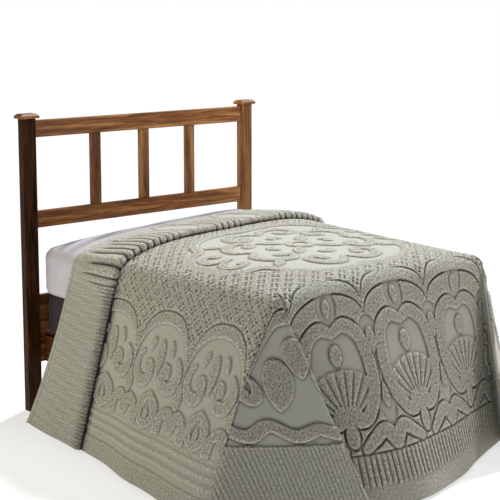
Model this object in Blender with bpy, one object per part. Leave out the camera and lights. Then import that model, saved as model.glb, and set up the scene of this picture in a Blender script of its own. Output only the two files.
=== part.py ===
"""A chenille bedspread hanging over a made bed, with the plain bed that it lies on.

Metres, +Z up. The foot of the bed points to -Y and the headboard stands at +Y.
Everything is first laid out with the headboard's front face at y = 0 and the bed's
middle line at x = 0, and is then moved so that the origin is under its middle.
"""
import math

import bmesh
import bpy
import numpy as np

# The mattress that carries the cloth.
MATTRESS_WIDTH = 1.37
MATTRESS_LENGTH = 1.82
MATTRESS_TOP = 0.905
MATTRESS_DEPTH = 0.29
EDGE_ROUND = 0.05
CROWN = 0.065
CROWN_END_LOSS = 0.9
HEAD_LEAN = 0.034

# The cloth: its thickness with the pile, its gap to the mattress at the edges and where it
# lies on the flat top, and its hem above the floor.
CLOTH = 0.004
CLEARANCE = 0.0036
TOP_GAP = 0.0008
SETTLE_REACH = 0.45
HEM_HEIGHT = 0.012

# How far the hanging cloth leans out, in metres out for each metre down.
SIDE_LEAN_HEAD = 0.27
SIDE_LEAN_FOOT = 0.44
SIDE_LEAN_START = 0.45
FOOT_LEAN_CORNER = 0.16
FOOT_LEAN_PEAK = 0.41
FOOT_LEAN_FAR = 0.24
FOOT_PEAK_PLACE = -0.20
CORNER_REACH = 0.43
FOOT_RIPPLE_SHIFT = 0.13
RIPPLES = (            # lean, wave length along the edge, phase
    (0.006, 0.62, 0.4),
    (0.004, 0.37, 2.1),
)

# The corner's spare cloth runs from a soft ridge at the end of the side to a fold's edge
# and back under it to a valley: metres (toward the bed's middle, toward the head) for each
# metre down. Its layers are also held apart by a fixed spread along SPREAD_WAY.
CORNER_FOLD = (0.24, -0.41)
CORNER_VALLEY = (-0.08, -0.13)
LAYER_SPREAD = 0.012
SPREAD_WAY = (0.6, 0.8)
SPREAD_START = 0.08
SPREAD_FADE = 0.30
FOLD_ROUND = 0.010
TOP_ROUND = 0.10
RIDGE_ROUND = 0.10
RIDGE_REACH = 0.14
RIDGE_GROWTH = 3.0

# The head end, folded back on itself in a Z: distances from the headboard's face.
FREE_HEM_PLACE = 0.30
HIDDEN_TURN_PLACE = 0.40
BAND_EDGE_PLACE = 0.70
LAYER_GAP = 0.0025
BAND_RISE_START = 0.015
BAND_RISE = 0.05
BAND_PUFF = 0.034
PUFF_START = 0.12
BAND_SPREAD = 0.13

# The wooden bed.
POST_WIDTH = 0.08
POST_DEPTH = 0.045
POST_HEIGHT = 1.545
CAP_HEIGHT = 0.024
CAP_OVERHANG = 0.014
TOP_RAIL_HEIGHT = 0.088
TOP_RAIL_DROP = 0.012
RAIL_THICKNESS = 0.028
LOWER_RAIL_TOP = 1.06
BOTTOM_RAIL_HEIGHT = 0.36
SLAT_WIDTH = 0.066
SLAT_INSET = 0.005
SLAT_PLACES = (0.27, 0.5, 0.73)
POST_GAP = 0.015
SIDE_RAIL_HEIGHT = 0.14
SIDE_RAIL_THICKNESS = 0.03
DECK_HEIGHT = 0.018
DECK_WIDTH = 0.07
DECK_COUNT = 5
LAST_DECK_PLACE = -0.12
BOX_SPRING_HEIGHT = 0.20
BOX_SPRING_ROUND = 0.015
BASE_INSET = 0.012
FOOT_INSET = 0.02
LEG_SIDE = 0.07
SEAT = 0.0003
EASED_EDGE = 0.002

# How finely the solids are cut.
EDGE_STEP = 0.002
MERGE = 0.00005
BEND_ROWS = 4
DROP_SHARES = (0.06, 0.14, 0.26, 0.40, 0.55, 0.70, 0.85, 1.0)
TOP_COLUMNS = 16
MAIN_ROWS = 14

CREST_X = MATTRESS_WIDTH / 2 - EDGE_ROUND
CREST_Y = EDGE_ROUND - MATTRESS_LENGTH
BEND = EDGE_ROUND + CLEARANCE + CLOTH
SLOPE_STEP = 0.001
FULL_DROP = MATTRESS_TOP - EDGE_ROUND - HEM_HEIGHT


def ease(value):
    """Smooth step: 0 below 0, 1 above 1, level at both ends."""
    value = np.clip(value, 0.0, 1.0)
    return value * value * (3.0 - 2.0 * value)


def swell(x, y):
    """Height of the soft mattress over its level top: a low crown plus a lean at the head."""
    across = x / CREST_X
    along = 2.0 * y / MATTRESS_LENGTH + 1.0
    crown = CROWN * (1.0 - across**4) * (1.0 - CROWN_END_LOSS * along**4)
    return crown + HEAD_LEAN * across * ease(1.0 + y / MATTRESS_LENGTH)


def cloth_top(x, y):
    """Height of the cloth's right side on the mattress: it settles away from the edges."""
    inward = np.minimum(CREST_X - np.abs(x), y - CREST_Y)
    gap = TOP_GAP + (CLEARANCE - TOP_GAP) * ease(1.0 - inward / SETTLE_REACH)
    return MATTRESS_TOP + gap + CLOTH + swell(x, y)


def ripple(place):
    """Small waves of the lean along the edge, from the short table of ripples."""
    return sum(lean * np.sin(2 * math.pi * place / wave + phase) for lean, wave, phase in RIPPLES)


def side_lean(y):
    """The side's lean grows toward the foot, with ripples."""
    grow = ease((-y - SIDE_LEAN_START) / (MATTRESS_LENGTH - SIDE_LEAN_START))
    return SIDE_LEAN_HEAD + (SIDE_LEAN_FOOT - SIDE_LEAN_HEAD) * grow + ripple(y)


def foot_lean(x):
    """The foot's lean: wide left of the middle, less at the right, small at both corners."""
    sink = np.clip((x - FOOT_PEAK_PLACE) / (CREST_X - FOOT_PEAK_PLACE), 0.0, 1.0)
    wide = FOOT_LEAN_PEAK + (FOOT_LEAN_FAR - FOOT_LEAN_PEAK) * (0.5 - 0.5 * np.cos(math.pi * sink))
    inward = np.clip((CREST_X - np.abs(x)) / CORNER_REACH, 0.0, 1.0)
    rise = np.sin(0.5 * math.pi * inward)
    return FOOT_LEAN_CORNER + (wide + ripple(x + FOOT_RIPPLE_SHIFT) - FOOT_LEAN_CORNER) * rise


def corner_turns(side):
    """The corner's turning points as rows of (lean x, lean y, spread), from side to foot."""
    fold, valley = CORNER_FOLD, CORNER_VALLEY
    rows = np.array([
        (-side_lean(CREST_Y), 0.0, 0.0),
        (*fold, -LAYER_SPREAD),
        (*fold, 0.0),
        (*valley, 0.0),
        (*valley, LAYER_SPREAD),
        (0.0, -foot_lean(side * CREST_X), LAYER_SPREAD),
    ])
    return rows * (-side, 1.0, 1.0)


def corner_run(side, step):
    """Leans, headings and spreads round one corner, evenly spaced along its line."""
    turns = corner_turns(side)
    lengths = np.hypot(*np.diff(turns[:, :2], axis=0).T) * FULL_DROP + np.abs(np.diff(turns[:, 2]))
    ends = np.concatenate(([0.0], np.cumsum(lengths)))
    place = np.arange(0.0, ends[-1], step)
    lean_x, lean_y, spread = (np.interp(place, ends, turns[:, k]) for k in range(3))
    quarter = 0.5 * math.pi * place / ends[-1]
    heading = np.stack([side * np.cos(quarter), -np.sin(quarter)], axis=1)
    spread = np.stack([-side * SPREAD_WAY[0] * spread, SPREAD_WAY[1] * spread], axis=1)
    return np.stack([lean_x, lean_y], axis=1), heading, spread, ends


def foot_spread(x):
    """The foot's cloth stays behind the corner folds, less so toward the middle."""
    near = LAYER_SPREAD * ease(1.0 - (CREST_X - np.abs(x)) / SPREAD_FADE)
    return np.stack([-np.sign(x) * SPREAD_WAY[0] * near, SPREAD_WAY[1] * near], axis=1)


def edge_run(step=EDGE_STEP):
    """The whole crest, from the left head end round the foot to the right head end.

    Returns arrays along it: crest point, lean, heading and spread, and the turns' places.
    """
    side_y = np.arange(0.0, CREST_Y, -step)
    zero = np.zeros_like(side_y)
    left = [
        np.stack([zero - CREST_X, side_y], axis=1),
        np.stack([-side_lean(side_y), zero], axis=1),
        np.stack([zero - 1.0, zero], axis=1),
        np.stack([zero, zero], axis=1),
    ]
    foot_x = np.arange(-CREST_X, CREST_X, step)
    level = np.zeros_like(foot_x)
    foot = [
        np.stack([foot_x, level + CREST_Y], axis=1),
        np.stack([level, -foot_lean(foot_x)], axis=1),
        np.stack([level, level - 1.0], axis=1),
        foot_spread(foot_x),
    ]
    corners = []
    corner_ends = []
    for side in (-1.0, 1.0):
        lean, heading, spread, ends = corner_run(side, step)
        crest = np.zeros_like(lean) + np.array([side * CREST_X, CREST_Y])
        corners.append([crest, lean, heading, spread])
        corner_ends.append(ends)
    mirror = np.array([-1.0, 1.0])
    right = [part[::-1] * mirror for part in left]
    pieces = [left, corners[0], foot, [part[::-1] for part in corners[1]], right]
    tables = [np.concatenate([piece[k] for piece in pieces]) for k in range(4)]
    places = np.arange(len(tables[0])) * step
    starts = np.cumsum([0] + [len(piece[0]) for piece in pieces]) * step
    last = starts[4] - step
    left_ends, right_ends = corner_ends
    marks = {
        "left_corner": starts[1],
        "left_fold": starts[1] + (left_ends[1] + left_ends[2]) / 2,
        "left_valley": starts[1] + (left_ends[3] + left_ends[4]) / 2,
        "foot_left": starts[2],
        "foot_right": starts[3],
        "right_valley": last - (right_ends[3] + right_ends[4]) / 2,
        "right_fold": last - (right_ends[1] + right_ends[2]) / 2,
        "right_corner": last,
        "end": starts[5] - step,
    }
    return places, tables, marks


PLACES, (CREST, LEAN, HEADING, SPREAD), MARKS = edge_run()
CREST_SUM, LEAN_SUM, SPREAD_SUM = (np.cumsum(table, axis=0) for table in (CREST, LEAN, SPREAD))


def averaged(running_sum, place, half):
    """Mean of a table of pairs over place - half to place + half, from its running sum."""
    half = np.maximum(half, EDGE_STEP)
    low = np.clip(place - half, 0.0, PLACES[-1])
    high = np.clip(place + half, 0.0, PLACES[-1])
    count = (high - low) / PLACES[1]
    values = [
        (np.interp(high, PLACES, running_sum[:, k]) - np.interp(low, PLACES, running_sum[:, k])) / count
        for k in (0, 1)
    ]
    return np.stack(values, axis=-1)


def rounding(place, fall):
    """Half width of the averaging: a fold keeps its round at every depth, a ridge grows."""
    round_here = np.minimum(TOP_ROUND, FOLD_ROUND / np.maximum(fall, 0.01))
    for corner in ("left_corner", "right_corner"):
        near = np.exp(-(((place - MARKS[corner]) / RIDGE_REACH) ** 2))
        near = near * ease(RIDGE_GROWTH * fall)
        round_here = round_here + (RIDGE_ROUND * fall - round_here) * near
    return round_here


def hang(place, turn_share, fall, lift=0.0):
    """Cloth that leaves the crest, at a share of its edge bend and of its fall to the hem.

    The bend turns from level, in the heading's direction, to the falling line (lean, -1)
    along an arc of radius BEND, which also keeps the slope that the top has at the crest.
    Below it the cloth runs straight along that line. A point is then raised by lift along
    the arc's normal.
    """
    place, turn_share, fall, lift = np.broadcast_arrays(place, turn_share, fall, lift)
    half = rounding(place, fall)
    lean_top = averaged(LEAN_SUM, place, rounding(place, np.zeros_like(fall)))
    lean = averaged(LEAN_SUM, place, half)
    index = np.clip(np.rint(place / PLACES[1]).astype(int), 0, len(PLACES) - 1)
    crest = np.stack([np.interp(place, PLACES, CREST[:, k]) for k in (0, 1)], axis=-1)
    soft = averaged(CREST_SUM, place, half * fall) - averaged(CREST_SUM, place, np.zeros_like(half))
    height = cloth_top(crest[..., 0], crest[..., 1])
    out = np.concatenate([HEADING[index], np.zeros(place.shape + (1,))], axis=-1)
    line = np.concatenate([lean_top, -np.ones(place.shape + (1,))], axis=-1)
    line = line / np.linalg.norm(line, axis=-1, keepdims=True)
    turn = np.arccos(np.sum(out * line, axis=-1))[..., None]
    share = turn_share[..., None]
    out_part = np.cos((1.0 - share) * turn)
    line_part = np.cos(share * turn)
    arc = BEND / np.sin(turn) * ((out_part - np.cos(turn)) * out + (1.0 - line_part) * line)
    normal = (out_part * out - line_part * line) / np.sin(turn)
    inner = crest - SLOPE_STEP * HEADING[index]
    slope = (cloth_top(inner[..., 0], inner[..., 1]) - height) / SLOPE_STEP
    arc[..., 2] -= slope * np.sum(arc[..., :2] * HEADING[index], axis=-1)
    drop = fall * (height + arc[..., 2] - HEM_HEIGHT)
    point = np.concatenate([crest, height[..., None]], axis=-1) + arc
    apart = averaged(SPREAD_SUM, place, half) * ease(fall / SPREAD_START)[..., None]
    point[..., :2] += soft + apart + drop[..., None] * lean
    point[..., 2] -= drop
    return point + lift[..., None] * normal


def band_profile():
    """The folded head end as (y, lift) of the right side, from the free hem to the hidden turn.

    The top layer rises off the mattress over the hidden turn, swells to a round edge at
    the foot side, runs back under itself, and turns down onto the main layer.
    """
    flat = 2.0 * (LAYER_GAP + CLOTH)
    radius = (BAND_PUFF - LAYER_GAP) / 2.0
    edge = -BAND_EDGE_PLACE + radius
    hem = -FREE_HEM_PLACE
    turn = -HIDDEN_TURN_PLACE
    rows = []
    for step in (0.0, 0.02, 0.045, 0.07):
        rows.append((hem - step, flat * ease((step - BAND_RISE_START) / BAND_RISE)))
    for share in (0.25, 0.55, 0.8, 0.93):
        y = rows[3][0] + (edge - rows[3][0]) * share
        rows.append((y, flat + (BAND_PUFF - flat) * ease((share - PUFF_START) / (1.0 - PUFF_START))))
    for angle in np.radians((90, 58, 26, -6, -38, -66, -90)):
        rows.append((edge - radius * math.cos(angle), LAYER_GAP + radius * (1.0 + math.sin(angle))))
    for share in (0.12, 0.4, 0.75, 1.0):
        rows.append((edge + (turn - edge) * share, LAYER_GAP))
    small = LAYER_GAP / 2.0
    for angle in np.radians((30, -30)):
        rows.append((turn + small * math.cos(angle), small * (1.0 + math.sin(angle))))
    rows.append((turn, 0.0))
    return np.array(rows)


def main_rows():
    """Places along the bed of the main layer's rows, from the hidden turn to the foot crest."""
    under = np.array((-0.05, -0.15, -0.25)) - HIDDEN_TURN_PLACE
    open_part = np.linspace(-BAND_EDGE_PLACE - 0.02, CREST_Y + RIDGE_ROUND, MAIN_ROWS)
    return np.concatenate([under, open_part, [CREST_Y + RIDGE_ROUND / 2, CREST_Y]])


def drop_rows():
    """Shares of the bend and of the fall for the rows from the crest to the hem."""
    turn_share = np.concatenate([np.arange(BEND_ROWS + 1) / BEND_ROWS, np.ones(len(DROP_SHARES))])
    fall = np.concatenate([np.zeros(BEND_ROWS + 1), DROP_SHARES])
    return turn_share, fall


def sheared(y, fall):
    """The folded end takes more cloth as it hangs: its hem spreads toward the head, its edge stays."""
    share = np.clip((y + BAND_EDGE_PLACE) / (BAND_EDGE_PLACE - FREE_HEM_PLACE), 0.0, 1.0)
    return np.minimum(y + BAND_SPREAD * fall**2 * share, 0.0)


def side_grid(side, rows):
    """One hanging side: rows of (y, lift) along the bed, by the rows down the drop."""
    turn_share, fall = drop_rows()
    y = sheared(rows[:, :1], fall[None, :])
    place = -y if side < 0 else MARKS["end"] + y
    return hang(place, turn_share[None, :], fall[None, :], rows[:, 1:])


def top_grid(rows):
    """The cloth on top of the bed: rows of (y, lift) along it, by columns across."""
    x = np.linspace(-CREST_X, CREST_X, TOP_COLUMNS + 1)[None, :] + 0.0 * rows[:, :1]
    y = rows[:, :1] + 0.0 * x
    return np.stack([x, y, cloth_top(x, y) + rows[:, 1:]], axis=-1)


def corner_columns(first, fold, valley, last):
    """Places round one corner, close together at its ridge, its fold and its valley."""
    near_fold = np.array((-0.05, -0.024, -0.012, -0.004, 0.004, 0.012, 0.024, 0.05))
    near_valley = np.array((-0.035, -0.014, -0.004, 0.004, 0.014, 0.035))
    ridge = np.array((0.0, 0.04, 0.09)) * np.sign(fold - first)
    between = np.array((0.3, 0.5, 0.7, 0.86))
    columns = np.concatenate([
        first + ridge,
        first + (fold - first) * between,
        fold + near_fold,
        fold + (valley - fold) * np.array((0.33, 0.6)),
        valley + near_valley,
        valley + (last - valley) * np.array((0.4, 0.7, 1.0)),
    ])
    return np.sort(columns)


def foot_grid():
    """The hanging foot with both corners: places along the crest, by rows down the drop."""
    left = corner_columns(*(MARKS[key] for key in ("left_corner", "left_fold", "left_valley", "foot_left")))
    right = corner_columns(*(MARKS[key] for key in ("right_corner", "right_fold", "right_valley", "foot_right")))
    foot = np.linspace(MARKS["foot_left"], MARKS["foot_right"], TOP_COLUMNS + 1)[1:-1]
    place = np.concatenate([left, foot, right])[:, None]
    turn_share, fall = drop_rows()
    return hang(place, turn_share[None, :], fall[None, :])


def add_grid(mesh, points, flip=False):
    """Adds a grid of points to a bmesh as faces of four."""
    count_u, count_v = points.shape[:2]
    verts = [[mesh.verts.new(points[i, j]) for j in range(count_v)] for i in range(count_u)]
    for i in range(count_u - 1):
        for j in range(count_v - 1):
            ring = [verts[i][j], verts[i + 1][j], verts[i + 1][j + 1], verts[i][j + 1]]
            mesh.faces.new(ring[::-1] if flip else ring)


def thicken(mesh, thickness):
    """Closes a sheet: a second layer behind it along its normals, and a rim round its hem."""
    mesh.normal_update()
    front = list(mesh.verts)
    hem = [edge for edge in mesh.edges if edge.is_boundary]
    faces = list(mesh.faces)
    back = {vert: mesh.verts.new(vert.co - vert.normal * thickness) for vert in front}
    for edge in hem:
        loop = edge.link_loops[0]
        start, end = loop.vert, loop.link_loop_next.vert
        mesh.faces.new((end, start, back[start], back[end]))
    for face in faces:
        mesh.faces.new([back[vert] for vert in reversed(face.verts)])


def material(name, colour, roughness):
    """A plain Principled material."""
    made = bpy.data.materials.new(name)
    made.use_nodes = True
    shader = made.node_tree.nodes["Principled BSDF"]
    shader.inputs["Base Color"].default_value = (*colour, 1.0)
    shader.inputs["Roughness"].default_value = roughness
    shader.inputs["Metallic"].default_value = 0.0
    return made


def finish_object(name, mesh, finish, smooth=None):
    """Puts a bmesh into a named object with its material."""
    data = bpy.data.meshes.new(name)
    mesh.to_mesh(data)
    mesh.free()
    if smooth is not None:
        data.shade_smooth()
        data.set_sharp_from_angle(angle=math.radians(smooth))
    data.materials.append(finish)
    made = bpy.data.objects.new(name, data)
    bpy.context.scene.collection.objects.link(made)
    return made


def bedspread(finish):
    """The cloth: the main layer with its folded head end, its sides, and its foot with corners."""
    band = band_profile()
    main = np.stack([main_rows(), np.zeros(len(main_rows()))], axis=1)
    rows = np.concatenate([band, main])
    mesh = bmesh.new()
    add_grid(mesh, top_grid(rows))
    add_grid(mesh, side_grid(-1.0, rows), flip=True)
    add_grid(mesh, side_grid(1.0, rows))
    add_grid(mesh, foot_grid(), flip=True)
    bmesh.ops.remove_doubles(mesh, verts=mesh.verts, dist=MERGE)
    bmesh.ops.triangulate(mesh, faces=mesh.faces[:], quad_method="SHORT_EDGE")
    thicken(mesh, CLOTH)
    return finish_object("bedspread", mesh, finish, smooth=50)


def edge_steps(half, radius, cuts, steps):
    """Places across a rounded box: even cuts on its flat, and steps of equal turn on its round."""
    flat = np.linspace(radius - half, half - radius, cuts + 1)
    turned = radius * np.tan(np.linspace(0.0, math.pi / 4, steps + 1)[1:])
    return np.concatenate([(radius - half - turned)[::-1], flat, half - radius + turned])


def rounded_box(size, radius, cuts, steps):
    """A box with round edges: each point of a box is drawn to a ball's distance from its core."""
    half = np.array(size) / 2.0
    lines = [edge_steps(half[k], radius, cuts[k], steps) for k in range(3)]
    mesh = bmesh.new()
    for axis in range(3):
        first, second = (axis + 1) % 3, (axis + 2) % 3
        for sign in (-1.0, 1.0):
            points = np.zeros((len(lines[first]), len(lines[second]), 3))
            points[..., axis] = sign * half[axis]
            points[..., first] = lines[first][:, None]
            points[..., second] = lines[second][None, :]
            core = np.clip(points, radius - half, half - radius)
            away = points - core
            away /= np.linalg.norm(away, axis=-1, keepdims=True)
            add_grid(mesh, core + radius * away, flip=sign < 0)
    bmesh.ops.remove_doubles(mesh, verts=mesh.verts, dist=MERGE)
    return mesh


def mattress(finish):
    """The mattress: a round-edged box whose upper half follows the swell."""
    mesh = rounded_box((MATTRESS_WIDTH, MATTRESS_LENGTH, MATTRESS_DEPTH), EDGE_ROUND, (7, 8, 2), 2)
    for vert in mesh.verts:
        vert.co.y -= MATTRESS_LENGTH / 2
        raised = ease(0.5 + vert.co.z / MATTRESS_DEPTH)
        vert.co.z += MATTRESS_TOP - MATTRESS_DEPTH / 2 + raised * swell(vert.co.x, vert.co.y)
    return finish_object("mattress", mesh, finish, smooth=50)


def board(name, low, high, finish):
    """A plain board between two corners, with its edges eased."""
    low, high = np.array(low), np.array(high)
    mesh = bmesh.new()
    bmesh.ops.create_cube(mesh, size=1.0)
    for vert in mesh.verts:
        vert.co = (low + high) / 2.0 + np.array(vert.co) * (high - low)
    bmesh.ops.bevel(mesh, geom=mesh.edges[:], offset=EASED_EDGE, segments=1, affect="EDGES")
    return finish_object(name, mesh, finish)


def cap(name, x, finish):
    """A post's cap: a flat plate whose upper edges slope in."""
    half = np.array((POST_WIDTH / 2 + CAP_OVERHANG, POST_DEPTH / 2 + CAP_OVERHANG))
    middle = np.array((x, POST_DEPTH / 2))
    slope = CAP_OVERHANG * 0.9
    levels = ((0.0, 0.0015), (0.0015, 0.0), (CAP_HEIGHT * 0.55, 0.0), (CAP_HEIGHT, slope))
    mesh = bmesh.new()
    rings = []
    for rise, inset in levels:
        size = half - inset
        corners = [(-1, -1), (1, -1), (1, 1), (-1, 1)]
        height = POST_HEIGHT + SEAT + rise
        rings.append([mesh.verts.new((*(middle + size * corner), height)) for corner in corners])
    for lower, upper in zip(rings, rings[1:]):
        for k in range(4):
            after = (k + 1) % 4
            mesh.faces.new((lower[k], lower[after], upper[after], upper[k]))
    mesh.faces.new(rings[0][::-1])
    mesh.faces.new(rings[-1])
    return finish_object(name, mesh, finish)


def headboard(finish):
    """Two posts with caps, a top and a lower rail between them, and slats between the rails."""
    inner = MATTRESS_WIDTH / 2 + POST_GAP
    made = []
    for label, side in (("left", -1.0), ("right", 1.0)):
        edges = sorted((side * inner, side * (inner + POST_WIDTH)))
        made.append(board(f"post_{label}", (edges[0], 0, 0), (edges[1], POST_DEPTH, POST_HEIGHT), finish))
        made.append(cap(f"cap_{label}", side * (inner + POST_WIDTH / 2), finish))
    front = (POST_DEPTH - RAIL_THICKNESS) / 2
    reach = inner - SEAT
    rail_top = POST_HEIGHT - TOP_RAIL_DROP
    rail_low = rail_top - TOP_RAIL_HEIGHT
    lower_low = LOWER_RAIL_TOP - TOP_RAIL_HEIGHT
    bottom_top = MATTRESS_TOP - MATTRESS_DEPTH
    spans = (
        ("top_rail", rail_low, rail_top),
        ("lower_rail", lower_low, LOWER_RAIL_TOP),
        ("bottom_rail", bottom_top - BOTTOM_RAIL_HEIGHT, bottom_top),
    )
    for name, low, high in spans:
        made.append(board(name, (-reach, front, low), (reach, front + RAIL_THICKNESS, high), finish))
    for number, share in enumerate(SLAT_PLACES, start=1):
        x = inner * (2.0 * share - 1.0)
        low = (x - SLAT_WIDTH / 2, front + SLAT_INSET, LOWER_RAIL_TOP + SEAT)
        high = (x + SLAT_WIDTH / 2, front + RAIL_THICKNESS - SLAT_INSET, rail_low - SEAT)
        made.append(board(f"slat_{number}", low, high, finish))
    return made


def bed_base(wood, ticking):
    """Box spring on cross boards, on two side rails and a foot rail, on two foot legs."""
    spring_top = MATTRESS_TOP - MATTRESS_DEPTH - SEAT
    spring_low = spring_top - BOX_SPRING_HEIGHT
    deck_top = spring_low - SEAT
    deck_low = deck_top - DECK_HEIGHT
    rail_top = deck_low - SEAT
    rail_low = rail_top - SIDE_RAIL_HEIGHT
    wide = MATTRESS_WIDTH / 2 - BASE_INSET
    head = (POST_DEPTH - RAIL_THICKNESS) / 2 - SEAT
    foot = FOOT_INSET - MATTRESS_LENGTH
    size = (2 * wide, MATTRESS_LENGTH - FOOT_INSET, BOX_SPRING_HEIGHT)
    spring = rounded_box(size, BOX_SPRING_ROUND, (1, 1, 1), 1)
    for vert in spring.verts:
        vert.co.y -= MATTRESS_LENGTH / 2
        vert.co.z += (spring_low + spring_top) / 2
    made = [finish_object("box_spring", spring, ticking, smooth=50)]
    for label, side in (("left", -1.0), ("right", 1.0)):
        outer = side * wide
        rail = sorted((outer, outer - side * SIDE_RAIL_THICKNESS))
        leg = sorted((outer, outer - side * LEG_SIDE))
        leg_low = (leg[0], foot, 0.0)
        leg_high = (leg[1], foot + LEG_SIDE, rail_top)
        made.append(board(f"foot_leg_{label}", leg_low, leg_high, wood))
        rail_start = (rail[0], foot + LEG_SIDE + SEAT, rail_low)
        made.append(board(f"side_rail_{label}", rail_start, (rail[1], head, rail_top), wood))
    reach = wide - LEG_SIDE - SEAT
    rail_place = foot + (LEG_SIDE - SIDE_RAIL_THICKNESS) / 2
    rail_start = (-reach, rail_place, rail_low)
    rail_end = (reach, rail_place + SIDE_RAIL_THICKNESS, rail_top)
    made.append(board("foot_rail", rail_start, rail_end, wood))
    first = foot + LEG_SIDE / 2
    for number in range(DECK_COUNT):
        y = first + (LAST_DECK_PLACE - first) * number / (DECK_COUNT - 1)
        low = (-wide, y - DECK_WIDTH / 2, deck_low)
        high = (wide, y + DECK_WIDTH / 2, deck_top)
        made.append(board(f"cross_board_{number + 1}", low, high, wood))
    return made


def centre_on_origin(objects):
    """Moves every mesh so that the whole stands over the origin."""
    corners = np.concatenate([[vert.co for vert in made.data.vertices] for made in objects])
    middle = (corners.min(axis=0) + corners.max(axis=0)) / 2.0
    for made in objects:
        for vert in made.data.vertices:
            vert.co.x -= middle[0]
            vert.co.y -= middle[1]


for old in list(bpy.data.objects):
    bpy.data.objects.remove(old, do_unlink=True)

chenille = material("chenille", (0.50, 0.51, 0.44), 0.95)
sheeting = material("cotton_sheet", (0.80, 0.79, 0.82), 0.85)
ticking_cloth = material("ticking", (0.015, 0.014, 0.015), 0.85)
dark_wood = material("dark_wood", (0.16, 0.06, 0.03), 0.45)

parts = [bedspread(chenille), mattress(sheeting)]
parts += headboard(dark_wood)
parts += bed_base(dark_wood, ticking_cloth)
centre_on_origin(parts)
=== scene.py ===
"""The look of a tufted chenille bedspread over a made bed: wood, sheeted mattress and cloth.

Metres, +Z up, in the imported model's frame: the foot of the bed points to -Y.
"""
import math

import bmesh
import bpy
import numpy as np
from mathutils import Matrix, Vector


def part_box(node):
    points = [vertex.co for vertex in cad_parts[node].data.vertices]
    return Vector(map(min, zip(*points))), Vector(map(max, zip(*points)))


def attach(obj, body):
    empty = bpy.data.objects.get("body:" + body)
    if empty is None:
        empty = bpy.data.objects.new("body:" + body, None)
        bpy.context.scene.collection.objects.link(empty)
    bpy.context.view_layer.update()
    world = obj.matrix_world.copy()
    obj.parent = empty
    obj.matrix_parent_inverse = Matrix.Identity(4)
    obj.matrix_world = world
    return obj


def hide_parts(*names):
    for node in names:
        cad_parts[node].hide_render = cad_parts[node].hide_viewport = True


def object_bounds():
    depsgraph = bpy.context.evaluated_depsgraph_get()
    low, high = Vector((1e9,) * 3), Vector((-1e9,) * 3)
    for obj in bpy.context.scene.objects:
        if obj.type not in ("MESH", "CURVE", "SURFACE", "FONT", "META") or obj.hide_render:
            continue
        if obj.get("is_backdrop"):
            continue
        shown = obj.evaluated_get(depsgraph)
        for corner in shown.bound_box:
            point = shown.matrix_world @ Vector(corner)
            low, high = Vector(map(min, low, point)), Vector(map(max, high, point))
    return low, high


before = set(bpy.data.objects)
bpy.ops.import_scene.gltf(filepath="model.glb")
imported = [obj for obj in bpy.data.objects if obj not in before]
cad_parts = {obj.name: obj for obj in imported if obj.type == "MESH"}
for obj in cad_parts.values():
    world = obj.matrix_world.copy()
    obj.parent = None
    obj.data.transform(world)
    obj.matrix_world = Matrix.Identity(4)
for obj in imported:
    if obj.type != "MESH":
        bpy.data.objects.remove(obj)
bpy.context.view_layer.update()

# The wooden bed: two head posts with caps, three rails and three slats, and a low base.
# It is dark stained hardwood under satin varnish, with the grain along each board.
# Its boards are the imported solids, and only their finish is made here.
WOOD_DARK = (0.040, 0.0100, 0.0035)
WOOD_MID = (0.260, 0.095, 0.027)
WOOD_LIGHT = (0.600, 0.290, 0.095)
GRAIN_ALONG = 2.2
GRAIN_ACROSS = 34.0
PAINTED_LIGHT_TO_RIGHT = 0.07
PORE_DEPTH = 0.0008


def fill_in(node, values):
    """Sets a node's properties by name, or its inputs where it has no such property."""
    for key, value in values.items():
        if hasattr(node, key):
            setattr(node, key, value)
        else:
            node.inputs[key.replace("_", " ")].default_value = value


def new_finish(name, **values):
    """A material, with a maker of its nodes and a function that finishes it.

    The maker takes the sockets that feed the new node, by input, and its plain values.
    """
    made = bpy.data.materials.new(name)
    made.use_nodes = True
    tree = made.node_tree
    shader = tree.nodes["Principled BSDF"]
    fill_in(shader, values)

    def node(kind, sources=None, **values):
        new = tree.nodes.new(kind)
        fill_in(new, values)
        for key, socket in (sources or {}).items():
            tree.links.new(socket, new.inputs[key])
        return new

    def dress(colour, height, strength, depth):
        """Feeds the shader its colour, and its normal from a bump with the given height."""
        bump = node("ShaderNodeBump", {"Height": height}, Strength=strength, Distance=depth)
        tree.links.new(colour, shader.inputs["Base Color"])
        tree.links.new(bump.outputs[0], shader.inputs["Normal"])
        return made

    return made, node, dress


def colour_steps(node, value, steps):
    """The colour that a ramp with the given (place, colour) steps has at the value."""
    made = node("ShaderNodeValToRGB", {0: value})
    stops = made.color_ramp.elements
    for number, (place, colour) in enumerate(steps):
        stop = stops[number] if number < 2 else stops.new(place)
        stop.position = place
        stop.color = (*colour, 1.0)
    return made.outputs[0]


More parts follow.
